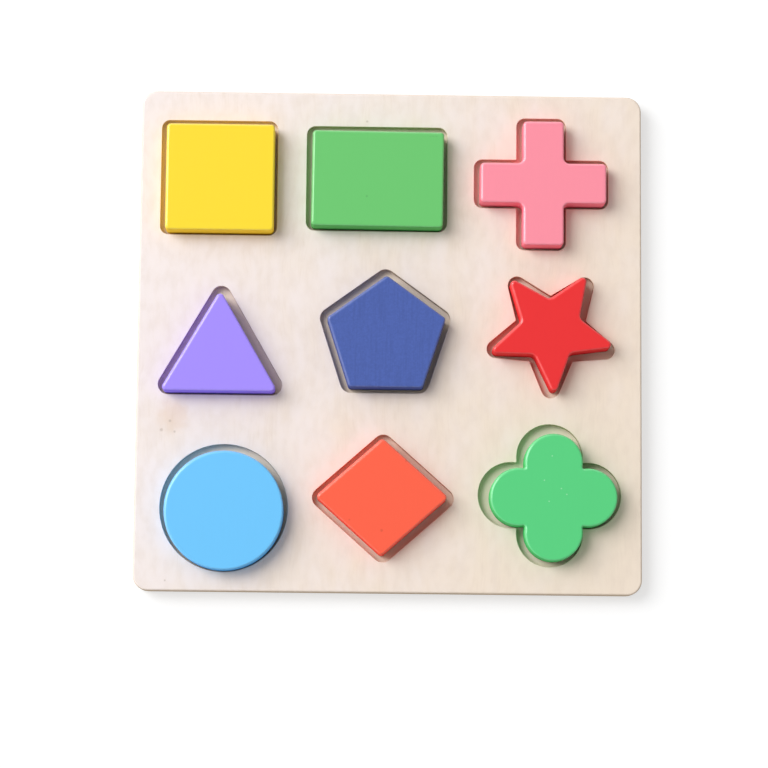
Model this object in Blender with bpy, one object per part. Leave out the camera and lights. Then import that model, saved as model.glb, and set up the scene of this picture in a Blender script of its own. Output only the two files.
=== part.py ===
"""A wooden shape board: a square plywood tray with nine windows, and a painted block for each window.

Lengths are in metres, +Z is up, and the origin is the middle of the tray's underside.
"""

import math

import bmesh
import bpy

# Sheets of the tray
BASE_THICKNESS = 0.003
TOP_THICKNESS = 0.0022
GLUE_LINE = 0.0003  # the seam between the two sheets
TRAY_CORNER = 0.0045
TRAY_ROUND = 0.0006  # softened outer edges of the tray

# Layout of the nine cells
CELL_MARGIN = 0.0067  # wood between the largest window and the next cell
TRAY_BORDER = 0.0015  # strip round the nine cells
CUTTER_OVERRUN = 0.002

# Blocks
BLOCK_THICKNESS = 0.0075
BLOCK_SEAT = 0.0003  # a block's underside over the base sheet
BLOCK_ROUND = 0.0006  # rounding of the upper edge
BLOCK_ARRIS = 0.0003  # rounding of the lower edge
TOP_CORNER = 0.0006  # corner radius left on a block's flat top
NOTCH_RADIUS = 0.0004  # inner corners of a window

# Each shape's sizes, the play between the block and its window on every side, and the window's
# shift from the middle of its cell, to the right and up the tray
SQUARE_SIDE = 0.03225
SQUARE_PLAY = 0.00125
SQUARE_SHIFT = (-0.0026, -0.0003)
RECTANGLE_LENGTH = 0.0393
RECTANGLE_WIDTH = 0.029
RECTANGLE_PLAY = 0.0014
RECTANGLE_SHIFT = (-0.0044, -0.0001)
CROSS_SPAN = 0.0376
CROSS_ARM = 0.01215
CROSS_PLAY = 0.0013
CROSS_SHIFT = (-0.0041, -0.0011)
TRIANGLE_SIDE = 0.035
TRIANGLE_PLAY = 0.00175
TRIANGLE_SHIFT = (-0.0013, -0.00495)
PENTAGON_SIDE = 0.0218
PENTAGON_PLAY = 0.00195
PENTAGON_SHIFT = (-0.00145, 0.0012)
STAR_TIP = 0.0203  # centre to a tip, before rounding
STAR_WAIST = 0.0091  # centre to an inner corner
STAR_PLAY = 0.0015
STAR_SHIFT = (-0.0011, 0.00315)
CIRCLE_DIAMETER = 0.0351
CIRCLE_PLAY = 0.0013
CIRCLE_SHIFT = (0.0004, -0.00145)
DIAMOND_LENGTH = 0.0392
DIAMOND_HEIGHT = 0.0348
DIAMOND_PLAY = 0.00185
DIAMOND_SHIFT = (-0.00165, 0.0019)
LOBE_RADIUS = 0.0086
LOBE_STEP = 0.0016  # from a lobe's middle to the point one radius from the centre
LOBE_PLAY = 0.00235
LOBE_SHIFT = (-0.0014, 0.00325)

# How each loose block leans in its window, as shares of its play, to the right and up the tray
SQUARE_LEAN_SHARE = (0.35, -0.58)
RECTANGLE_LEAN_SHARE = (0.14, -0.62)
CROSS_LEAN_SHARE = (0.27, -0.44)
TRIANGLE_LEAN_SHARE = (-0.14, -0.73)
PENTAGON_LEAN_SHARE = (0.12, -0.44)
STAR_LEAN_SHARE = (-0.20, 0.11)
CIRCLE_LEAN_SHARE = (0.11, -0.79)
DIAMOND_LEAN_SHARE = (-0.21, 0.0)
LOBE_LEAN_SHARE = (0.37, -0.36)

# How far a block's ends swing round in its window, as shares of its play
RECTANGLE_SWING_SHARE = -0.1
STAR_SWING_SHARE = 0.65

# Finish
PAINT_ROUGHNESS = 0.45
PLYWOOD_ROUGHNESS = 0.7

# Smoothness of the curves
ARC_STEP = math.radians(12)
CIRCLE_STEPS = 72
LOBE_STEPS = 22
ROUND_STEPS = 3
ARRIS_STEPS = 1
SMOOTH_ANGLE = math.radians(32)


def linear(red, green, blue):
    """Scene-linear colour of an 8-bit screen colour."""

    def channel(value):
        value /= 255
        return value / 12.92 if value <= 0.04045 else ((value + 0.055) / 1.055) ** 2.4

    return (channel(red), channel(green), channel(blue), 1.0)


def clear_scene():
    for obj in list(bpy.data.objects):
        bpy.data.objects.remove(obj, do_unlink=True)


# Outlines


def arc(centre, radius, start, sweep, steps):
    """Points along an arc, with both of its ends."""
    turns = (start + sweep * i / steps for i in range(steps + 1))
    return [(centre[0] + radius * math.cos(t), centre[1] + radius * math.sin(t)) for t in turns]


def corner_turn(before, corner, after):
    """How far the outline turns at a corner, positive to the left, and its heading on the way in."""
    heading_in = math.atan2(corner[1] - before[1], corner[0] - before[0])
    heading_out = math.atan2(after[1] - corner[1], after[0] - corner[0])
    return (heading_out - heading_in + math.pi) % math.tau - math.pi, heading_in


def rounded_polygon(corners, corner_radius, notch_radius, growth):
    """A counter-clockwise polygon moved outwards by growth, with an arc at each corner.

    Outer corners keep their arc's centre as the outline grows, so their radius grows with it.
    Inner corners lose as much radius as the outer ones gain.
    """
    points = []
    for i, corner in enumerate(corners):
        turn, heading = corner_turn(corners[i - 1], corner, corners[(i + 1) % len(corners)])
        side = 1 if turn > 0 else -1
        own_radius = corner_radius if side > 0 else notch_radius
        middle = heading + turn / 2 + side * math.pi / 2
        reach = own_radius / math.cos(turn / 2)
        centre = (corner[0] + reach * math.cos(middle), corner[1] + reach * math.sin(middle))
        steps = max(2, round(abs(turn) / ARC_STEP))
        start = heading - side * math.pi / 2
        points += arc(centre, own_radius + side * growth, start, turn, steps)
    return points


def box_corners(length, width):
    half_length, half_width = length / 2, width / 2
    return [
        (-half_length, -half_width),
        (half_length, -half_width),
        (half_length, half_width),
        (-half_length, half_width),
    ]


def ring_corners(radii, first_angle):
    """Corners at equal angles round the centre, one for each radius."""
    angles = (first_angle + math.tau * i / len(radii) for i in range(len(radii)))
    return [(r * math.cos(a), r * math.sin(a)) for r, a in zip(radii, angles)]


def cross_corners(span, arm):
    """A plus sign: each quarter has the two corners of an arm's end and the inner corner after it."""
    reach, half_arm = span / 2, arm / 2
    quarter = [(reach, -half_arm), (reach, half_arm), (half_arm, half_arm)]
    corners = []
    for _ in range(4):
        corners += quarter
        quarter = [(-y, x) for x, y in quarter]
    return corners


def block_polygon(corners, play, growth):
    """The outline of a block with straight sides, or of its window where growth equals its play."""
    return rounded_polygon(corners, TOP_CORNER + BLOCK_ROUND, NOTCH_RADIUS + play, growth)


def square_outline(growth):
    return block_polygon(box_corners(SQUARE_SIDE, SQUARE_SIDE), SQUARE_PLAY, growth)


def rectangle_outline(growth):
    return block_polygon(box_corners(RECTANGLE_LENGTH, RECTANGLE_WIDTH), RECTANGLE_PLAY, growth)


def cross_outline(growth):
    return block_polygon(cross_corners(CROSS_SPAN, CROSS_ARM), CROSS_PLAY, growth)


def regular_polygon(sides, length):
    """Corners of a regular polygon that points up the tray."""
    radius = length / (2 * math.sin(math.pi / sides))
    return ring_corners([radius] * sides, math.pi / 2)


def triangle_outline(growth):
    return block_polygon(regular_polygon(3, TRIANGLE_SIDE), TRIANGLE_PLAY, growth)


def pentagon_outline(growth):
    return block_polygon(regular_polygon(5, PENTAGON_SIDE), PENTAGON_PLAY, growth)


def star_outline(growth):
    """A five-pointed star with one point down."""
    return block_polygon(ring_corners([STAR_TIP, STAR_WAIST] * 5, -math.pi / 2), STAR_PLAY, growth)


def circle_outline(growth):
    return arc((0, 0), CIRCLE_DIAMETER / 2 + growth, 0, math.tau, CIRCLE_STEPS)[:-1]


def diamond_outline(growth):
    half_length, half_height = DIAMOND_LENGTH / 2, DIAMOND_HEIGHT / 2
    corners = ring_corners([half_length, half_height] * 2, 0)
    return block_polygon(corners, DIAMOND_PLAY, growth)


def quatrefoil_outline(growth):
    """Four round lobes, with a small fillet in each notch between them.

    A window's growth is shared: half of it moves the lobes out and half widens them.
    A rounded edge only narrows them.
    """
    spread = max(growth, 0) / 2
    lobe = LOBE_RADIUS + growth - spread
    reach = LOBE_RADIUS + LOBE_STEP + spread
    fillet = NOTCH_RADIUS + max(-growth, 0)
    # The fillet's centre is on the diagonal, where it touches both neighbouring lobes
    notch = (reach + math.sqrt(2 * (lobe + fillet) ** 2 - reach**2)) / 2
    half_sweep = math.atan2(notch, notch - reach)
    fillet_sweep = math.pi / 2 - 2 * half_sweep
    quarter = arc((reach, 0), lobe, -half_sweep, 2 * half_sweep, LOBE_STEPS)
    fillet_steps = max(2, round(abs(fillet_sweep) / ARC_STEP))
    quarter += arc((notch, notch), fillet, half_sweep - math.pi, fillet_sweep, fillet_steps)[1:-1]
    points = []
    for _ in range(4):
        points += quarter
        quarter = [(-y, x) for x, y in quarter]
    return points


YELLOW = linear(254, 224, 56)
GREEN = linear(113, 202, 118)
PINK = linear(255, 150, 168)
PURPLE = linear(168, 146, 254)
DARK_BLUE = linear(80, 102, 175)
RED = linear(237, 57, 58)
SKY_BLUE = linear(115, 202, 254)
ORANGE = linear(255, 105, 78)
MINT = linear(96, 213, 134)
PLYWOOD = linear(238, 226, 213)

# Each shape: its outline, the play of its window, its cell as (column, row) from the middle one, the
# window's shift in that cell, how the block leans and swings in the window, and its paint
SHAPES = {
    "square": (square_outline, SQUARE_PLAY, (-1, 1), SQUARE_SHIFT, SQUARE_LEAN_SHARE, 0, YELLOW),
    "rectangle": (rectangle_outline, RECTANGLE_PLAY, (0, 1), RECTANGLE_SHIFT,
                  RECTANGLE_LEAN_SHARE, RECTANGLE_SWING_SHARE, GREEN),
    "cross": (cross_outline, CROSS_PLAY, (1, 1), CROSS_SHIFT, CROSS_LEAN_SHARE, 0, PINK),
    "triangle": (triangle_outline, TRIANGLE_PLAY, (-1, 0), TRIANGLE_SHIFT,
                 TRIANGLE_LEAN_SHARE, 0, PURPLE),
    "pentagon": (pentagon_outline, PENTAGON_PLAY, (0, 0), PENTAGON_SHIFT,
                 PENTAGON_LEAN_SHARE, 0, DARK_BLUE),
    "star": (star_outline, STAR_PLAY, (1, 0), STAR_SHIFT, STAR_LEAN_SHARE, STAR_SWING_SHARE, RED),
    "circle": (circle_outline, CIRCLE_PLAY, (-1, -1), CIRCLE_SHIFT, CIRCLE_LEAN_SHARE, 0, SKY_BLUE),
    "diamond": (diamond_outline, DIAMOND_PLAY, (0, -1), DIAMOND_SHIFT, DIAMOND_LEAN_SHARE, 0, ORANGE),
    "quatrefoil": (quatrefoil_outline, LOBE_PLAY, (1, -1), LOBE_SHIFT, LOBE_LEAN_SHARE, 0, MINT),
}


def extent(points):
    """The larger side of the box round some points."""
    across, along = zip(*points)
    return max(max(across) - min(across), max(along) - min(along))


def cell_side():
    """Nine equal cells, each as wide as the largest window and the wood beside it."""
    return max(extent(shape[0](shape[1])) for shape in SHAPES.values()) + CELL_MARGIN


def tray_outline(growth):
    side = 3 * cell_side() + 2 * TRAY_BORDER
    return rounded_polygon(box_corners(side, side), TRAY_CORNER, TRAY_CORNER, growth)


# Solids


def rounding(height, radius, steps, direction):
    """Heights and growths of the rings that round an edge, in order going up the solid."""
    if radius == 0:
        return [(height, 0)]
    rings = []
    for i in range(steps + 1):
        angle = math.pi / 2 * i / steps
        rise, inset = radius * (1 - math.cos(angle)), radius * (1 - math.sin(angle))
        rings.append((height + direction * rise, -inset))
    return rings[::direction]


def solid(name, outline, bottom, top, lower_round, upper_round, finish):
    """A flat piece: the outline repeated at each height, joined by its walls and closed by two caps."""
    rings = rounding(bottom, lower_round, ARRIS_STEPS, 1) + rounding(top, upper_round, ROUND_STEPS, -1)
    mesh = bmesh.new()
    loops = [[mesh.verts.new((x, y, z)) for x, y in outline(growth)] for z, growth in rings]
    mesh.faces.new(reversed(loops[0]))
    mesh.faces.new(loops[-1])
    for lower, upper in zip(loops, loops[1:]):
        for i in range(len(lower)):
            mesh.faces.new((lower[i - 1], lower[i], upper[i], upper[i - 1]))
    data = bpy.data.meshes.new(name)
    mesh.to_mesh(data)
    mesh.free()
    data.shade_smooth()
    data.set_sharp_from_angle(angle=SMOOTH_ANGLE)
    data.materials.append(finish)
    piece = bpy.data.objects.new(name, data)
    bpy.context.scene.collection.objects.link(piece)
    return piece


def material(name, colour, roughness):
    made = bpy.data.materials.new(name)
    made.use_nodes = True
    shader = made.node_tree.nodes["Principled BSDF"]
    shader.inputs["Base Color"].default_value = colour
    shader.inputs["Roughness"].default_value = roughness
    shader.inputs["Metallic"].default_value = 0.0
    return made


def window_centre(cell, shift):
    pitch = cell_side()
    return (cell[0] * pitch + shift[0], cell[1] * pitch + shift[1])


def build_sheet(name, height, thickness, lower_round, upper_round):
    """One plywood sheet of the tray, lying at a height, before any window is cut."""
    plywood = material(name, PLYWOOD, PLYWOOD_ROUGHNESS)
    sheet = solid(name, tray_outline, 0, thickness, lower_round, upper_round, plywood)
    sheet.location.z = height
    return sheet


def cut_window(plate, name, outline, play, centre):
    """Cuts one window through the top sheet: the block's outline and its play all round."""
    cutter = solid(
        f"{name}_window_cutter",
        lambda growth: outline(play + growth),
        -CUTTER_OVERRUN,
        TOP_THICKNESS + CUTTER_OVERRUN,
        0,
        0,
        plate.data.materials[0],
    )
    cutter.location = (*centre, plate.location.z)
    cutter.hide_render = True
    cutter.display_type = "WIRE"
    cut = plate.modifiers.new(f"{name} window", "BOOLEAN")
    cut.operation = "DIFFERENCE"
    cut.solver = "EXACT"
    cut.object = cutter
    return cutter


def build_block(name, outline, play, centre, lean, swing, paint):
    """A painted block that stands on the base sheet, leaning and turned in its window."""
    finish = material(f"{name}_block", paint, PAINT_ROUGHNESS)
    block = solid(f"{name}_block", outline, 0, BLOCK_THICKNESS, BLOCK_ARRIS, BLOCK_ROUND, finish)
    block.location = (
        centre[0] + lean[0] * play,
        centre[1] + lean[1] * play,
        BASE_THICKNESS + BLOCK_SEAT,
    )
    block.rotation_euler.z = math.asin(2 * swing * play / extent(outline(0)))
    return block


def build():
    clear_scene()
    tray = bpy.data.objects.new("tray", None)
    bpy.context.scene.collection.objects.link(tray)
    base = build_sheet("base_plate", 0, BASE_THICKNESS, TRAY_ROUND, 0)
    top = build_sheet("top_plate", BASE_THICKNESS + GLUE_LINE, TOP_THICKNESS, 0, TRAY_ROUND)
    pieces = [base, top]
    for name, (outline, play, cell, shift, lean, swing, paint) in SHAPES.items():
        centre = window_centre(cell, shift)
        pieces.append(cut_window(top, name, outline, play, centre))
        pieces.append(build_block(name, outline, play, centre, lean, swing, paint))
    for piece in pieces:
        piece.parent = tray


build()
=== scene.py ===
# %% [markdown]
# # A wooden shape board
# The toy is a square tray of two plywood sheets. The upper sheet has nine windows cut right through it,
# and a painted wooden block stands loose in each window. Every size and place here comes from the packed
# solids. This script adds what the eye wants: softened edges, wood grain, ply layers, paint and light.

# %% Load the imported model
import math

import bmesh
import bpy
from mathutils import Matrix, Vector


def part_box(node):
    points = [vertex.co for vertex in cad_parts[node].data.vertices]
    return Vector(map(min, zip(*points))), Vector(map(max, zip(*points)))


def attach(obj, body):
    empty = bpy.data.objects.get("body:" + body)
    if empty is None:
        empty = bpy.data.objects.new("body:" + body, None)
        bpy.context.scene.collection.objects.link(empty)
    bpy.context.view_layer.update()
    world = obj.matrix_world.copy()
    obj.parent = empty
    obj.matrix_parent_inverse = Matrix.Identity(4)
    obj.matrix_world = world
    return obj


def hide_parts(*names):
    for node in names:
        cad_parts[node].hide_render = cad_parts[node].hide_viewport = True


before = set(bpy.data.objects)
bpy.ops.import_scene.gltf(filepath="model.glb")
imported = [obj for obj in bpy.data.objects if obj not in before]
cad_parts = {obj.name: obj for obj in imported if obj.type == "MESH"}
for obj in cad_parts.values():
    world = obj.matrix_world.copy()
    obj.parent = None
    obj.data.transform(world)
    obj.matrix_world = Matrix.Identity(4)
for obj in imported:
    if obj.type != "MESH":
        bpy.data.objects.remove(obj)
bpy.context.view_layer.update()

MM = 0.001
FACE_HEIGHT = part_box("top_plate")[1].z

# %% [markdown]
# ## Camera
# The photo looks almost straight down through a long lens, so the tray is nearly a true square. Its four
# corners fix the viewpoint: solving for the camera that puts a 150 mm square on them gives the turns and
# the place below. The camera first rolls about its own axis, then tilts back towards the front edge, and
# then sways a little to the left.

# %% Camera
IMAGE_WIDTH = 768
FOCAL_LENGTH_PX = 2680
SENSOR_WIDTH = 36.0
CAMERA_ROLL = math.radians(0.5707)
CAMERA_TILT = math.radians(7.4383)
CAMERA_SWAY = math.radians(-0.8960)
CAMERA_PLACE = Vector((-13.99, -116.10, 789.12)) * MM  # from the middle of the tray's upper face

camera_data = bpy.data.cameras.new("camera")
camera_data.sensor_width = SENSOR_WIDTH
camera_data.lens = SENSOR_WIDTH * FOCAL_LENGTH_PX / IMAGE_WIDTH
camera = bpy.data.objects.new("camera", camera_data)
bpy.context.scene.collection.objects.link(camera)
camera.matrix_world = (
    Matrix.Translation(CAMERA_PLACE + Vector((0, 0, FACE_HEIGHT)))
    @ Matrix.Rotation(CAMERA_SWAY, 4, "Y")
    @ Matrix.Rotation(CAMERA_TILT, 4, "X")
    @ Matrix.Rotation(CAMERA_ROLL, 4, "Z")
)
bpy.context.scene.camera = camera
print("lens in mm:", round(camera_data.lens, 2))

# %% [markdown]
# ## Helpers for node trees
# Writing shader nodes in code is mostly making a node, setting its values and linking its sockets. The
# helpers below do all three: they take each input either as a plain value or as the socket to link from.

# %% Node helpers
SPOT_CORE = 0.3  # the share of a spot's radius inside which it is full


def screen_colour(red, green, blue):
    """Scene-linear colour of an 8-bit screen colour."""

    def channel(value):
        value /= 255
        return value / 12.92 if value <= 0.04045 else ((value + 0.055) / 1.055) ** 2.4

    return (channel(red), channel(green), channel(blue), 1.0)


def fill_inputs(tree, node, inputs):
    """Sets a node's inputs, each from a plain value or from the socket to link it from."""
    for socket, value in inputs.items():
        if isinstance(value, bpy.types.NodeSocket):
            tree.links.new(value, node.inputs[socket])
        else:
            node.inputs[socket].default_value = value


def add_node(tree, kind, inputs, **settings):
    """A shader node with its settings and its inputs."""
    node = tree.nodes.new("ShaderNode" + kind)
    for setting, value in settings.items():
        setattr(node, setting, value)
    fill_inputs(tree, node, inputs)
    return node


def calculate(tree, operation, *values):
    """The output of a Math node."""
    return add_node(tree, "Math", dict(enumerate(values)), operation=operation).outputs[0]


def scaled(tree, value, from_low, from_high, to_low=0.0, to_high=1.0):
    """A value mapped smoothly from one range to another and held inside it."""
    inputs = {"Value": value, "From Min": from_low, "From Max": from_high}
    inputs.update({"To Min": to_low, "To Max": to_high})
    node = add_node(tree, "MapRange", inputs, interpolation_type="SMOOTHSTEP")
    return node.outputs[0]


def mixed(tree, factor, first, second):
    """A colour mixed from two others."""
    return add_node(tree, "Mix", {0: factor, 6: first, 7: second}, data_type="RGBA").outputs[2]


def new_group(name, inputs, outputs):
    """An empty shader node group. Inputs are (name, kind, default) and outputs (name, kind)."""
    tree = bpy.data.node_groups.new(name, "ShaderNodeTree")
    for label, kind, default in inputs:
        socket = tree.interface.new_socket(name=label, in_out="INPUT", socket_type="NodeSocket" + kind)
        if default is not None:
            socket.default_value = default
    for label, kind in outputs:
        tree.interface.new_socket(name=label, in_out="OUTPUT", socket_type="NodeSocket" + kind)
    return tree, tree.nodes.new("NodeGroupInput").outputs, tree.nodes.new("NodeGroupOutput").inputs


def spot_mask(tree, place, centre, radius):
    """One at a centre, fading to zero at a radius, measured level."""
    offset = add_node(tree, "VectorMath", {0: place, 1: centre}, operation="SUBTRACT").outputs[0]
    level_offset = add_node(tree, "VectorMath", {0: offset, 1: (1.0, 1.0, 0.0)}, operation="MULTIPLY")
    away = add_node(tree, "VectorMath", {0: level_offset.outputs[0]}, operation="LENGTH").outputs["Value"]
    return scaled(tree, away, radius * SPOT_CORE, radius, 1.0, 0.0)


def place_group(tree, group, inputs):
    """One use of a node group in a tree, with its own values. Gives the group's outputs."""
    node = tree.nodes.new("ShaderNodeGroup")
    node.node_tree = group
    fill_inputs(tree, node, inputs)
    return node.outputs


def seen_as_backdrop(tree):
    """One where the camera sees a surface directly or in a reflection, and zero where it lights others."""
    rays = add_node(tree, "LightPath", {}).outputs
    mirrored = calculate(tree, "MAXIMUM", rays["Is Glossy Ray"], rays["Is Transmission Ray"])
    return calculate(tree, "MAXIMUM", rays["Is Camera Ray"], mirrored)


# %% [markdown]
# ## Light
# Shadows in the photo are soft and fall to the lower right, about as long as a block stands proud of the
# tray, and the gaps and walls on that side are dark. So one large softbox stands to the upper left, half
# way down from overhead. A sky gives the rest of the light: dim overhead, brighter all round the horizon,
# and brightest low behind the softbox. Together they make a white surface lying flat come out just white.
# What the camera sees behind the floor is plain white.

# %% Lights and sky
SKY_OVERHEAD = 0.08
SKY_HORIZON = 0.75  # added at the horizon, all round
SKY_BEHIND_KEY = 0.70  # added at the horizon behind the key
KEY_BEARING = math.radians(153)  # which side it stands on, turned from the right-hand side
KEY_LEAN = math.radians(47)  # how far down from straight overhead
KEY_DISTANCE = 2.4
KEY_LENGTH = 1.92
KEY_WIDTH = 1.44
KEY_POWER = 49.5

key_data = bpy.data.lights.new("key", "AREA")
key_data.shape = "RECTANGLE"
key_data.size = KEY_LENGTH
key_data.size_y = KEY_WIDTH
key_data.energy = KEY_POWER
key = bpy.data.objects.new("key", key_data)
bpy.context.scene.collection.objects.link(key)
key_aim = Matrix.Rotation(KEY_BEARING, 4, "Z") @ Matrix.Rotation(KEY_LEAN, 4, "Y")
key.matrix_world = key_aim @ Matrix.Translation((0, 0, KEY_DISTANCE))

sky = bpy.data.worlds.new("sky")
sky.use_nodes = True
sky_tree = sky.node_tree
sky_shader = sky_tree.nodes["Background"]
towards_key = (math.cos(KEY_BEARING), math.sin(KEY_BEARING), 0.0)
direction = add_node(sky_tree, "TexCoord", {}).outputs["Generated"]
along_key = add_node(sky_tree, "VectorMath", {0: direction, 1: towards_key}, operation="DOT_PRODUCT")
behind_key = calculate(sky_tree, "MAXIMUM", along_key.outputs["Value"], 0.0)
steepness = add_node(sky_tree, "SeparateXYZ", {0: direction}).outputs["Z"]
steepness = calculate(sky_tree, "ABSOLUTE", steepness)
ring = calculate(sky_tree, "MULTIPLY_ADD", steepness, -SKY_HORIZON, SKY_OVERHEAD + SKY_HORIZON)
brightness = calculate(sky_tree, "MULTIPLY_ADD", behind_key, SKY_BEHIND_KEY, ring)
backdrop = seen_as_backdrop(sky_tree)
lit = calculate(sky_tree, "MULTIPLY", brightness, calculate(sky_tree, "SUBTRACT", 1.0, backdrop))
sky_tree.links.new(calculate(sky_tree, "ADD", lit, backdrop), sky_shader.inputs["Strength"])
sky_shader.inputs["Color"].default_value = (1.0, 1.0, 1.0, 1.0)
bpy.context.scene.world = sky
bpy.context.scene.view_settings.view_transform = "Standard"

# %% [markdown]
# ## Shared effects
# Wood and paint share a few effects, so each is a node group that every material places with its own
# values. They all work in millimetres of the object's own space, so a pattern moves with its piece and
# has the size it would have on the real toy.

# %% Place in millimetres
place_mm, place_in, place_out = new_group(
    "Place in millimetres", [("Offset", "Vector", (0.0, 0.0, 0.0))], [("Place", "Vector")]
)
object_place = add_node(place_mm, "TexCoord", {}).outputs["Object"]
in_mm = add_node(place_mm, "VectorMath", {0: object_place, "Scale": 1 / MM}, operation="SCALE")
shifted = add_node(place_mm, "VectorMath", {0: in_mm.outputs[0], 1: place_in["Offset"]}, operation="ADD")
place_mm.links.new(shifted.outputs[0], place_out["Place"])

# %% [markdown]
# Streaks are plain noise, squeezed across the grain and stretched along it. The grain of this tray runs
# up the picture, along Y.

# %% Streaks along the grain
streaks, streaks_in, streaks_out = new_group(
    "Streaks along the grain",
    [
        ("Place", "Vector", None),
        ("Width", "Float", 1.0),
        ("Length", "Float", 20.0),
        ("Detail", "Float", 3.0),
    ],
    [("Streak", "Float")],
)
stretch = add_node(
    streaks, "CombineXYZ", {0: streaks_in["Width"], 1: streaks_in["Length"], 2: streaks_in["Width"]}
)
stretched = add_node(
    streaks, "VectorMath", {0: streaks_in["Place"], 1: stretch.outputs[0]}, operation="DIVIDE"
)
streak_noise = add_node(
    streaks, "TexNoise", {"Vector": stretched.outputs[0], "Scale": 1.0, "Detail": streaks_in["Detail"]}
)
streaks.links.new(streak_noise.outputs["Fac"], streaks_out["Streak"])

# %% [markdown]
# Specks are the small dots of dust, resin and stray paint. A Voronoi texture gives one point for each
# cell, and only a share of the cells keeps its point as a speck.

# %% Specks
specks, specks_in, specks_out = new_group(
    "Specks",
    [
        ("Place", "Vector", None),
        ("Spacing", "Float", 5.0),
        ("Radius", "Float", 0.2),
        ("Share", "Float", 0.3),
    ],
    [("Speck", "Float")],
)
cell_scale = calculate(specks, "DIVIDE", 1.0, specks_in["Spacing"])
cells = add_node(specks, "TexVoronoi", {"Vector": specks_in["Place"], "Scale": cell_scale})
chance = add_node(specks, "SeparateColor", {0: cells.outputs["Color"]})
kept = calculate(specks, "LESS_THAN", chance.outputs[0], specks_in["Share"])
own_radius = calculate(specks, "MULTIPLY", specks_in["Radius"], chance.outputs[1])
reach = calculate(specks, "MULTIPLY", cells.outputs["Distance"], specks_in["Spacing"])
inside = calculate(specks, "SUBTRACT", own_radius, reach)
speck_edge = calculate(specks, "DIVIDE", inside, specks_in["Radius"])
speck = calculate(specks, "MULTIPLY", scaled(specks, speck_edge, 0.0, 0.4), kept)
specks.links.new(speck, specks_out["Speck"])

# %% [markdown]
# Wear and thin paint follow the rounded edges. The pieces are all flat with upright walls, so the way the
# surface faces tells where it is: up on a face, level on a wall, and between the two on a rounded edge.

# %% Face, wall and edge
UPPER_LEFT = (-0.7, 0.7, 0.0)  # the level direction in which the photo's edges are softest
WALL_SPAN = (0.5, 0.9)  # how level a surface faces where a wall begins and where it is full
SIDEWAYS_SPAN = (0.35, 0.65)  # the same for facing along X
UPPER_LEFT_SPAN = (0.0, 0.3)  # and for facing the upper left
EDGE_PEAK = 4.0  # brings the middle of a rounded edge to one

zones, _, zones_out = new_group(
    "Face wall and edge",
    [],
    [("Wall", "Float"), ("Edge", "Float"), ("Facing X", "Float"), ("Upper Left", "Float")],
)
normal = add_node(zones, "NewGeometry", {}).outputs["Normal"]
facing = add_node(zones, "SeparateXYZ", {0: normal}).outputs
upward = calculate(zones, "MULTIPLY", facing["Z"], facing["Z"])
level = calculate(zones, "SUBTRACT", 1.0, upward)
zones.links.new(scaled(zones, level, *WALL_SPAN), zones_out["Wall"])
tilted = calculate(zones, "MULTIPLY", upward, level)
zones.links.new(calculate(zones, "MULTIPLY", tilted, EDGE_PEAK), zones_out["Edge"])
sideways = calculate(zones, "MULTIPLY", facing["X"], facing["X"])
zones.links.new(scaled(zones, sideways, *SIDEWAYS_SPAN), zones_out["Facing X"])
upper_left = add_node(zones, "VectorMath", {0: normal, 1: UPPER_LEFT}, operation="DOT_PRODUCT")
zones.links.new(scaled(zones, upper_left.outputs["Value"], *UPPER_LEFT_SPAN), zones_out["Upper Left"])

# %% [markdown]
# A sheet of plywood is thin veneers glued with their grain crossed. On a cut edge they show as bands:
# long grain is pale and streaked, end grain is darker, and a thin line of glue parts them.

# %% Ply layers
PLY_WAVER = 0.35  # how far a glue line strays up and down, in millimetres

plies, plies_in, plies_out = new_group(
    "Ply layers",
    [
        ("Place", "Vector", None),
        ("Underside", "Float", 0.0),
        ("Ply", "Float", 1.0),
        ("Glue Width", "Float", 0.08),
    ],
    [("Crossed", "Float"), ("Glue", "Float")],
)
waver = add_node(plies, "TexNoise", {"Vector": plies_in["Place"], "Scale": 0.12, "Detail": 2.0})
centred_waver = calculate(plies, "SUBTRACT", waver.outputs["Fac"], 0.5)
waver_mm = calculate(plies, "MULTIPLY", centred_waver, PLY_WAVER)
ply_height = add_node(plies, "SeparateXYZ", {0: plies_in["Place"]}).outputs["Z"]
above = calculate(plies, "SUBTRACT", ply_height, plies_in["Underside"])
layer = calculate(plies, "DIVIDE", calculate(plies, "ADD", above, waver_mm), plies_in["Ply"])
odd_layer = calculate(plies, "FLOORED_MODULO", calculate(plies, "FLOOR", layer), 2.0)
plies.links.new(odd_layer, plies_out["Crossed"])
from_joint = calculate(plies, "MULTIPLY", calculate(plies, "PINGPONG", layer, 0.5), plies_in["Ply"])
glue_share = calculate(plies, "DIVIDE", from_joint, plies_in["Glue Width"])
plies.links.new(scaled(plies, glue_share, 0.4, 1.0, 1.0, 0.0), plies_out["Glue"])
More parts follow.
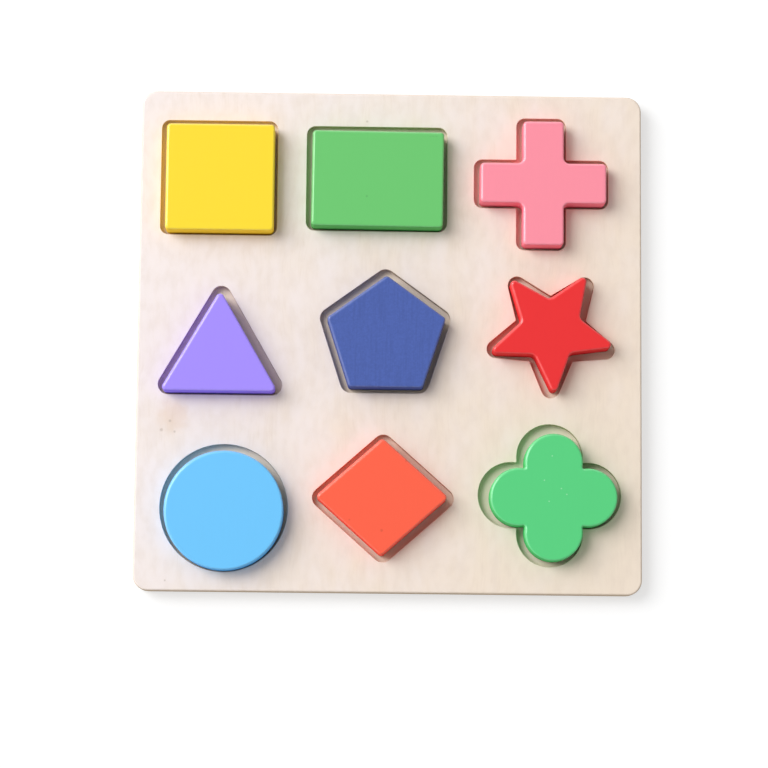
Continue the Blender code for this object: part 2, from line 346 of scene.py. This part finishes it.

# %% [markdown]
# ## Bare plywood
# The tray is unfinished basswood ply: a pale cream with hardly any figure, faintly pink on the left and
# more yellow on the right. Down the tray it is painted a little darker, as shade where the softbox's light
# falls off. Soft patches lie in it, faint fibres wander up the tray, and there is one small knot at the left.

# %% Face veneer
PALE_WOOD = screen_colour(249, 238, 235)
WARM_AND_SHADED_WOOD = screen_colour(245, 229, 211)
PORE_WOOD = screen_colour(222, 204, 188)
KNOT = screen_colour(232, 200, 170)
DIRT = screen_colour(150, 128, 108)
KNOT_PLACE = (-64.0, -23.4, 0.0)
KNOT_RADIUS = 6.5
KNOT_WOBBLE = (3.0, 3.0, 0.0)  # how far its outline strays from a circle
WOOD_MARKS = (  # place and radius of the small dark marks, most of them in the knot
    ((-64.9, -24.8), 0.6),
    ((-67.4, -27.5), 0.7),
    ((-63.5, -28.0), 0.5),
    ((-7.5, 66.5), 0.5),
    ((-65.5, -72.0), 0.4),
)
WARMTH_AND_SHADE_SPAN = 175.0  # from the paler, lighter side of the veneer to the warmer, darker one
SHADE_SLANT = -0.4  # how much that runs down the tray too: painted shade, darker towards the bottom
BEND = 9.0  # how far the fibres wander from side to side
GRAIN_SHARE = 0.22  # how much the clouds and the fibres colour the wood where they are strongest
KNOT_SHARE = 0.35
MARK_SHARE = 0.32
DUST_SHARE = 0.35


def knot_mask(tree, place):
    """A soft, uneven stain in the face veneer."""
    wobble = add_node(tree, "TexNoise", {"Vector": place, "Scale": 0.55, "Detail": 3.0})
    shift = add_node(
        tree, "VectorMath", {0: wobble.outputs["Color"], 1: (0.5, 0.5, 0.5)}, operation="SUBTRACT"
    )
    pulled = add_node(
        tree,
        "VectorMath",
        {0: shift.outputs[0], 1: KNOT_WOBBLE, 2: place},
        operation="MULTIPLY_ADD",
    ).outputs[0]
    return spot_mask(tree, pulled, KNOT_PLACE, KNOT_RADIUS)


def face_colour(tree, place):
    """Colour of the flat veneer: a warmer side, painted shade down the tray, soft patches, faint fibres, the
    knot and a few specks.
    """
    bend = add_node(tree, "TexNoise", {"Vector": place, "Scale": 0.03, "Detail": 2.0}).outputs["Color"]
    bent = add_node(
        tree, "VectorMath", {0: bend, 1: (BEND, 0.0, 0.0), 2: place}, operation="MULTIPLY_ADD"
    ).outputs[0]
    # yellower to the right, and darker down the tray, where the darkening is painted shade
    along_warmth_and_shade = add_node(
        tree, "VectorMath", {0: place, 1: (1.0, SHADE_SLANT, 0.0)}, operation="DOT_PRODUCT"
    ).outputs["Value"]
    warmth_and_shade = calculate(tree, "DIVIDE", along_warmth_and_shade, WARMTH_AND_SHADE_SPAN)
    patches = place_group(tree, streaks, {"Place": bent, "Width": 7.0, "Length": 16.0, "Detail": 4.0})
    tone_and_shade = calculate(tree, "ADD", warmth_and_shade, patches["Streak"])
    colour = mixed(tree, scaled(tree, tone_and_shade, -0.1, 1.1), PALE_WOOD, WARM_AND_SHADED_WOOD)
    clouds = place_group(tree, streaks, {"Place": bent, "Width": 2.5, "Length": 5.0, "Detail": 5.0})
    colour = mixed(tree, scaled(tree, clouds["Streak"], 0.35, 0.75, 0.0, GRAIN_SHARE), colour, PORE_WOOD)
    fibres = place_group(tree, streaks, {"Place": bent, "Width": 0.6, "Length": 7.0, "Detail": 4.0})
    fibre_share = scaled(tree, fibres["Streak"], 0.45, 0.8, 0.0, GRAIN_SHARE)
    showing = scaled(tree, patches["Streak"], 0.4, 0.65)
    colour = mixed(tree, calculate(tree, "MULTIPLY", fibre_share, showing), colour, PORE_WOOD)
    knot = calculate(tree, "MULTIPLY", knot_mask(tree, place), KNOT_SHARE)
    colour = mixed(tree, knot, colour, KNOT)
    for centre, radius in WOOD_MARKS:
        spot = spot_mask(tree, place, (*centre, 0.0), radius)
        mark = calculate(tree, "MULTIPLY", spot, MARK_SHARE)
        colour = mixed(tree, mark, colour, DIRT)
    dust = place_group(tree, specks, {"Place": place, "Spacing": 9.0, "Radius": 0.35, "Share": 0.25})
    colour = mixed(tree, calculate(tree, "MULTIPLY", dust["Speck"], DUST_SHARE), colour, DIRT)
    return colour, fibres["Streak"]


# %% [markdown]
# The cut edges show the ply layers. Fine dark ticks run through them, where the saw tore the fibres.

# %% Cut edge
LONG_GRAIN = screen_colour(232, 214, 190)
END_GRAIN = screen_colour(206, 180, 148)
GLUE = screen_colour(168, 138, 104)
TICK_SHARE = 0.35
GLUE_SHARE = 0.75


def wall_colour(tree, place, facing_x, underside, ply):
    """Colour of a cut edge: long and end grain by turns, with glue lines."""
    layers = place_group(tree, plies, {"Place": place, "Underside": underside, "Ply": ply})
    turned = calculate(tree, "ADD", layers["Crossed"], facing_x)
    end_grain = calculate(tree, "ABSOLUTE", calculate(tree, "SUBTRACT", 1.0, turned))
    colour = mixed(tree, end_grain, LONG_GRAIN, END_GRAIN)
    ticks = add_node(tree, "TexNoise", {"Vector": place, "Scale": 3.0, "Detail": 4.0})
    colour = mixed(tree, scaled(tree, ticks.outputs["Fac"], 0.4, 0.7, 0.0, TICK_SHARE), colour, GLUE)
    return mixed(tree, calculate(tree, "MULTIPLY", layers["Glue"], GLUE_SHARE), colour, GLUE)


# %% [markdown]
# Both sheets are the same bare wood: veneer where they face up or down, layers on the cut edges, and every
# rounded edge a little darker from handling. The lower sheet takes its grain from another part of the
# pattern. Fibres that are rougher also stand a hair higher.

# %% Plywood material
HANDLED_SHARE = 0.25  # how much darker a rounded edge is
NOISE_SPAN = (0.3, 0.7)  # holds nearly all the values of a noise texture
WOOD_ROUGHNESS = (0.62, 0.78)
SHEEN = 0.3
PLY_COUNT = 3
LOWER_GRAIN = (310.0, 120.0, 0.0)  # from the upper sheet's grain to the lower one's


def plywood(name, underside, ply, offset):
    """The material of one sheet, whose layers are measured from its underside, in millimetres."""
    material = bpy.data.materials.new(name)
    material.use_nodes = True
    tree = material.node_tree
    shader = tree.nodes["Principled BSDF"]
    place = place_group(tree, place_mm, {})["Place"]
    grain_place = place_group(tree, place_mm, {"Offset": offset})["Place"]
    zone = place_group(tree, zones, {})
    face, fibre = face_colour(tree, grain_place)
    wall = wall_colour(tree, place, zone["Facing X"], underside, ply)
    colour = mixed(tree, zone["Wall"], face, wall)
    colour = mixed(tree, calculate(tree, "MULTIPLY", zone["Edge"], HANDLED_SHARE), colour, END_GRAIN)
    tree.links.new(colour, shader.inputs["Base Color"])
    tree.links.new(scaled(tree, fibre, *NOISE_SPAN, *WOOD_ROUGHNESS), shader.inputs["Roughness"])
    bump = add_node(tree, "Bump", {"Strength": 0.25, "Distance": 0.05 * MM, "Height": fibre})
    tree.links.new(bump.outputs[0], shader.inputs["Normal"])
    shader.inputs["Specular IOR Level"].default_value = SHEEN
    return material


TOP_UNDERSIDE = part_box("top_plate")[0].z / MM
TOP_PLY = (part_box("top_plate")[1].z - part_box("top_plate")[0].z) / MM / PLY_COUNT
BASE_PLY = (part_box("base_plate")[1].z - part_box("base_plate")[0].z) / MM / PLY_COUNT
upper_ply = plywood("upper_plywood", TOP_UNDERSIDE, TOP_PLY, (0.0, 0.0, 0.0))
lower_ply = plywood("lower_plywood", 0.0, BASE_PLY, LOWER_GRAIN)
print("plies in mm:", round(TOP_PLY, 2), round(BASE_PLY, 2))

# %% [markdown]
# ## Paint
# Each block has one opaque, satin colour. Brushed paint over sanded wood is never quite even: the grain
# shows through as the faintest streaks, the surface has a slight orange peel, a few specks sit in it, and
# it thins to a lighter tone where an edge was rubbed. Handling has polished the edges to the upper left,
# which are the most rounded ones. The walls have a duller coat, and their paint is darkened and deepened as
# painted shade.

# %% Paint material
WALL_SHADE = 0.45  # how far the walls' paint is darkened and deepened in tone: a painted shade
EDGE_GLOSS = 1.8  # how fast the polish grows with the rounding of an edge
DARK_TONE = 0.72  # the darker shade, as a share of the colour
PALE_TONE = 0.4  # how far the lighter shade goes towards white
RUB_SHARE = (0.05, 0.15)  # how much of the lighter shade shows on an edge
DOT_SHARE = 0.4
SPOT_SHARE = 0.6
PAINT_ROUGHNESS = (0.28, 0.34)
WALL_ROUGHNESS = 0.85
POLISH_ROUGHNESS = 0.16


def paint(name, colour, offset, mottle, mottle_scale, marks):
    """A satin paint over wood.

    Mottle is how far the tone drifts towards its darker shade, and its scale counts spots per
    millimetre. Each mark is a small spot: its place in millimetres, its radius and its tone."""
    material = bpy.data.materials.new(name)
    material.use_nodes = True
    tree = material.node_tree
    shader = tree.nodes["Principled BSDF"]
    own_place = place_group(tree, place_mm, {})["Place"]
    place = place_group(tree, place_mm, {"Offset": offset})["Place"]
    zone = place_group(tree, zones, {})
    brush = place_group(tree, streaks, {"Place": place, "Width": 0.6, "Length": 12.0, "Detail": 3.0})
    peel = add_node(tree, "TexNoise", {"Vector": place, "Scale": mottle_scale, "Detail": 3.0})
    darker = tuple(DARK_TONE * c for c in colour[:3]) + (1.0,)
    lighter = tuple((1 - PALE_TONE) * c + PALE_TONE for c in colour[:3]) + (1.0,)
    # a darker, more saturated copy of the colour, painted on the walls as shade
    painted_shade = tuple(c * c for c in colour[:3]) + (1.0,)
    tone = mixed(tree, scaled(tree, peel.outputs["Fac"], *NOISE_SPAN, 0.0, mottle), colour, darker)
    tone = mixed(tree, scaled(tree, brush["Streak"], 0.4, 0.75, 0.0, mottle), tone, darker)
    rub = place_group(tree, streaks, {"Place": place, "Width": 1.5, "Length": 3.0, "Detail": 2.0})
    rub_share = scaled(tree, rub["Streak"], 0.3, 0.6, *RUB_SHARE)
    tone = mixed(tree, calculate(tree, "MULTIPLY", zone["Edge"], rub_share), tone, lighter)
    # the walls get the painted shade
    tone = mixed(tree, calculate(tree, "MULTIPLY", zone["Wall"], WALL_SHADE), tone, painted_shade)
    dots = place_group(tree, specks, {"Place": place, "Spacing": 7.0, "Radius": 0.16, "Share": 0.2})
    tone = mixed(tree, calculate(tree, "MULTIPLY", dots["Speck"], DOT_SHARE), tone, lighter)
    for centre, radius, is_pale in marks:
        spot = calculate(tree, "MULTIPLY", spot_mask(tree, own_place, (*centre, 0.0), radius), SPOT_SHARE)
        tone = mixed(tree, spot, tone, lighter if is_pale else darker)
    tree.links.new(tone, shader.inputs["Base Color"])
    satin = scaled(tree, peel.outputs["Fac"], *NOISE_SPAN, *PAINT_ROUGHNESS)
    dull = calculate(tree, "MULTIPLY", zone["Wall"], WALL_ROUGHNESS)
    roughness = calculate(tree, "MAXIMUM", satin, dull)
    tree.links.new(roughness, shader.inputs["Roughness"])
    relief = calculate(tree, "ADD", peel.outputs["Fac"], brush["Streak"])
    bump = add_node(tree, "Bump", {"Strength": 0.08, "Distance": 0.04 * MM, "Height": relief})
    tree.links.new(bump.outputs[0], shader.inputs["Normal"])
    gloss = calculate(tree, "MULTIPLY", zone["Upper Left"], EDGE_GLOSS)
    polish = calculate(tree, "MULTIPLY", zone["Edge"], gloss)
    tree.links.new(calculate(tree, "MINIMUM", polish, 1.0), shader.inputs["Coat Weight"])
    shader.inputs["Coat Roughness"].default_value = POLISH_ROUGHNESS
    shader.inputs["Specular IOR Level"].default_value = SHEEN
    return material


# %% [markdown]
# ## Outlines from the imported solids
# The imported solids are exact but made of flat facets. Their flat faces still hold each outline, corner
# arcs included, so the finer pieces are rebuilt from those: an outline is read from the edge of a flat
# face, then repeated up the wall with a smoothly rounded edge. A face's outer outline comes first, and the
# windows cut in it follow.

# %% Read and move outlines
WELD = 0.001 * MM


def face_outlines(node, height):
    """The closed outlines round a node's flat faces at a height, with the wood on their left."""
    mesh = bmesh.new()
    mesh.from_mesh(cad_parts[node].data)
    bmesh.ops.remove_doubles(mesh, verts=mesh.verts, dist=WELD)
    flat = {f for f in mesh.faces if all(abs(v.co.z - height) < WELD for v in f.verts)}
    following = {}
    for face in flat:
        for corner in face.loops:
            if sum(neighbour in flat for neighbour in corner.edge.link_faces) == 1:
                following[corner.vert] = corner.link_loop_next.vert
    outlines = []
    while following:
        start, here = following.popitem()
        outline = [start.co.xy]
        while here is not start:
            outline.append(here.co.xy)
            here = following.pop(here)
        outlines.append([point.copy() for point in outline])
    mesh.free()
    return sorted(outlines, key=lambda outline: min(point.x for point in outline))


def finer(outline, step):
    """The outline with extra points along its long sides."""
    points = []
    for i, point in enumerate(outline):
        after = outline[(i + 1) % len(outline)]
        parts = max(1, round((after - point).length / step))
        points += [point.lerp(after, part / parts) for part in range(parts)]
    return points


def outward(outline):
    """At each point, the level direction away from the wood, and how far a mitred corner reaches."""
    found = []
    for i, point in enumerate(outline):
        before, after = point - outline[i - 1], outline[(i + 1) % len(outline)] - point
        along = before.normalized() + after.normalized()
        miter = Vector((along.y, -along.x)).normalized()
        side = Vector((before.y, -before.x)).normalized()
        blended = Vector((before.y + after.y, -before.x - after.x)).normalized()
        found.append((miter / miter.dot(side), blended))
    return found


def grown(outline, growth):
    """The outline moved away from the wood."""
    return [point + miter * growth for point, (miter, _) in zip(outline, outward(outline))]


print("windows found:", len(face_outlines("top_plate", FACE_HEIGHT)) - 1)

# %% [markdown]
# ## Rounded walls
# A wall is a stack of rings. Each ring has a tilt, which is how far the surface there faces up or down,
# and that gives its height and its growth from the upright part of the wall. The same numbers give exact
# normals, so the shading runs smoothly round an edge and stays flat on the faces.

# %% Walls and faces
ROUND_STEPS = 5
WIDENED_SIDE = Vector(UPPER_LEFT).xy


def wall_rings():
    """(is_upper, tilt) of each ring, from the lower face's rounding to the upper one's."""
    quarter = [math.pi / 2 * i / ROUND_STEPS for i in range(ROUND_STEPS + 1)]
    return [(False, tilt - math.pi / 2) for tilt in quarter] + [(True, tilt) for tilt in quarter]


def ring_point(is_upper, tilt, low, high, low_round, high_round):
    """Height and growth of one point of a ring."""
    if is_upper:
        return high - high_round * (1 - math.sin(tilt)), high_round * (math.cos(tilt) - 1)
    return low + low_round * (1 + math.sin(tilt)), low_round * (math.cos(tilt) - 1)


def add_wall(mesh, normals, outline, low, high, low_round, high_round, widening=0.0):
    """Adds one wall to a mesh, and gives its lowest and highest loops of vertices.

    Widening is what the upper rounding gains where the wall faces WIDENED_SIDE."""
    directions = outward(outline)
    loops = []
    for is_upper, tilt in wall_rings():
        loop = []
        for point, (miter, side) in zip(outline, directions):
            wider = high_round + widening * max(0.0, side.dot(WIDENED_SIDE))
            height, growth = ring_point(is_upper, tilt, low, high, low_round, wider)
            place = point + miter * growth
            loop.append(mesh.verts.new((place.x, place.y, height)))
            normals.append(Vector((*(side * math.cos(tilt)), math.sin(tilt))))
        loops.append(loop)
    for lower, upper in zip(loops, loops[1:]):
        for i in range(len(lower)):
            mesh.faces.new((lower[i - 1], lower[i], upper[i], upper[i - 1]))
    return loops[0], loops[-1]


def fill_face(mesh, loops, upward):
    """Fills the flat face that lies between some loops of vertices."""
    edges = [mesh.edges.get((loop[i - 1], loop[i])) for loop in loops for i in range(len(loop))]
    made = bmesh.ops.triangle_fill(mesh, use_beauty=True, edges=edges, normal=(0, 0, upward))
    for face in made["geom"]:
        if isinstance(face, bmesh.types.BMFace) and face.normal.z * upward < 0:
            face.normal_flip()


# %% [markdown]
# A finished piece rides on its body, so it moves with the joint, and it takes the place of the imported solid
# that it was built from.

# %% Finish a piece


def finish_piece(name, mesh, normals, material, body, node):
    """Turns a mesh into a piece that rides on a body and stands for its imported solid."""
    bmesh.ops.recalc_face_normals(mesh, faces=mesh.faces)
    data = bpy.data.meshes.new(name)
    mesh.to_mesh(data)
    mesh.free()
    data.shade_smooth()
    data.normals_split_custom_set_from_vertices(normals)
    data.materials.append(material)
    piece = bpy.data.objects.new(name, data)
    bpy.context.scene.collection.objects.link(piece)
    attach(piece, body)
    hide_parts(node)
    print(name, len(data.polygons), "faces")


# %% [markdown]
# ## The tray
# Both sheets have softened outer edges. The upper one also has nine windows, whose rims were broken with
# sandpaper so that they don't splinter: a rounding of a fifth of a millimetre that catches the light.

# %% Two sheets
SIDE_STEP = 2.5 * MM
RIM_ROUND = 0.2 * MM
SEAM_ROUND = 0.05 * MM  # where the two sheets meet


def inset_below(node, outline):
    """How far a flat face lies inside its node's walls, measured at the side nearest to the front."""
    return min(point.y for point in outline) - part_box(node)[0].y


def build_upper_sheet():
    low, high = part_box("top_plate")
    outer, *windows = face_outlines("top_plate", high.z)
    outer_round = inset_below("top_plate", outer)
    walls = [(grown(finer(outer, SIDE_STEP), outer_round), outer_round)]
    walls += [(finer(window, SIDE_STEP), RIM_ROUND) for window in windows]
    mesh, normals, lowest, highest = bmesh.new(), [], [], []
    for outline, upper_round in walls:
        bottom, top = add_wall(mesh, normals, outline, low.z, high.z, SEAM_ROUND, upper_round)
        lowest.append(bottom)
        highest.append(top)
    fill_face(mesh, lowest, -1)
    fill_face(mesh, highest, 1)
    finish_piece("upper_sheet", mesh, normals, upper_ply, "tray", "top_plate")


def build_lower_sheet():
    low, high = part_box("base_plate")
    outline = finer(face_outlines("base_plate", high.z)[0], SIDE_STEP)
    under = face_outlines("base_plate", low.z)[0]
    mesh, normals = bmesh.new(), []
    lower_round = inset_below("base_plate", under)
    bottom, top = add_wall(mesh, normals, outline, low.z, high.z, lower_round, SEAM_ROUND)
    fill_face(mesh, [bottom], -1)
    fill_face(mesh, [top], 1)
    finish_piece("lower_sheet", mesh, normals, lower_ply, "tray", "base_plate")


build_upper_sheet()
build_lower_sheet()

# %% [markdown]
# ## The nine blocks
# All the blocks are built alike, so one loop makes them from the list of paints. The photo shows wide,
# soft highlights on the edges to the upper left and sharp edges on the other sides, so the rounding is
# wider there. A few paints have marks of their own.

# %% Painted blocks
PAINTS = {
    "square": ("yellow_paint", screen_colour(254, 222, 52)),
    "rectangle": ("green_paint", screen_colour(108, 200, 112)),
    "cross": ("pink_paint", screen_colour(255, 148, 166)),
    "triangle": ("purple_paint", screen_colour(166, 143, 254)),
    "pentagon": ("dark_blue_paint", screen_colour(77, 100, 176)),
    "star": ("red_paint", screen_colour(237, 48, 50)),
    "circle": ("sky_blue_paint", screen_colour(112, 200, 254)),
    "diamond": ("orange_paint", screen_colour(255, 100, 72)),
    "quatrefoil": ("mint_paint", screen_colour(90, 211, 130)),
}
EVEN_PAINT = (0.025, 0.2)  # mottle and its scale
UNEVEN_PAINTS = {"pentagon": (0.45, 1.8)}
PATTERN_SHIFT = Vector((37.0, 11.0, 0.0))  # from one block's pattern to the next one's, in millimetres
MARKS = {  # place, radius and whether the mark is pale
    "rectangle": (
        ((-7.4, 42.6), 0.5, False),
        ((11.4, 61.0), 0.25, False),
        ((12.3, 61.0), 0.25, False),
        ((13.2, 61.0), 0.25, False),
    ),
    "diamond": (((-2.0, -57.0), 0.6, False), ((5.0, -36.5), 0.4, False), ((-11.5, -54.0), 0.4, False)),
    "quatrefoil": (
        ((48.0, -34.5), 0.3, True),
        ((45.7, -41.7), 0.3, True),
        ((50.7, -44.1), 0.3, True),
        ((52.3, -45.8), 0.3, True),
        ((47.1, -47.9), 0.3, True),
    ),
}
BLOCK_STEP = 1.0 * MM
WIDENING = 0.45 * MM


def build_block(shape, material):
    node = shape + "_block"
    low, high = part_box(node)
    face = finer(face_outlines(node, high.z)[0], BLOCK_STEP)
    upper_round = inset_below(node, face)
    lower_round = inset_below(node, face_outlines(node, low.z)[0])
    outline = grown(face, upper_round)
    mesh, normals = bmesh.new(), []
    bottom, top = add_wall(mesh, normals, outline, low.z, high.z, lower_round, upper_round, WIDENING)
    fill_face(mesh, [bottom], -1)
    fill_face(mesh, [top], 1)
    finish_piece("painted_" + shape, mesh, normals, material, shape, node)


for number, (shape, (slot, colour)) in enumerate(PAINTS.items()):
    mottle, mottle_scale = UNEVEN_PAINTS.get(shape, EVEN_PAINT)
    marks = MARKS.get(shape, ())
    material = paint(slot, colour, PATTERN_SHIFT * number, mottle, mottle_scale, marks)
    build_block(shape, material)

# %% [markdown]
# ## Floor
# A plain pale floor carries the tray and takes its shadow. It glows a little for the camera and for
# reflections alone, which makes the background clean white without putting more light on the toy.

# %% Floor
FLOOR_SIZE = 6.0
FLOOR_DROP = 0.05 * MM
FLOOR_TONE = (0.5, 0.5, 0.5, 1.0)
FLOOR_GLOW = 0.58

floor_mesh = bmesh.new()
bmesh.ops.create_grid(floor_mesh, x_segments=1, y_segments=1, size=FLOOR_SIZE / 2)
floor_data = bpy.data.meshes.new("floor")
floor_mesh.to_mesh(floor_data)
floor_mesh.free()
floor = bpy.data.objects.new("floor", floor_data)
bpy.context.scene.collection.objects.link(floor)
floor.location.z = -FLOOR_DROP

floor_material = bpy.data.materials.new("white_floor")
floor_material.use_nodes = True
floor_tree = floor_material.node_tree
floor_shader = floor_tree.nodes["Principled BSDF"]
floor_shader.inputs["Base Color"].default_value = FLOOR_TONE
floor_shader.inputs["Roughness"].default_value = 0.9
floor_shader.inputs["Specular IOR Level"].default_value = 0.0
floor_shader.inputs["Emission Color"].default_value = (1.0, 1.0, 1.0, 1.0)
glow = calculate(floor_tree, "MULTIPLY", seen_as_backdrop(floor_tree), FLOOR_GLOW)
floor_tree.links.new(glow, floor_shader.inputs["Emission Strength"])
floor_data.materials.append(floor_material)
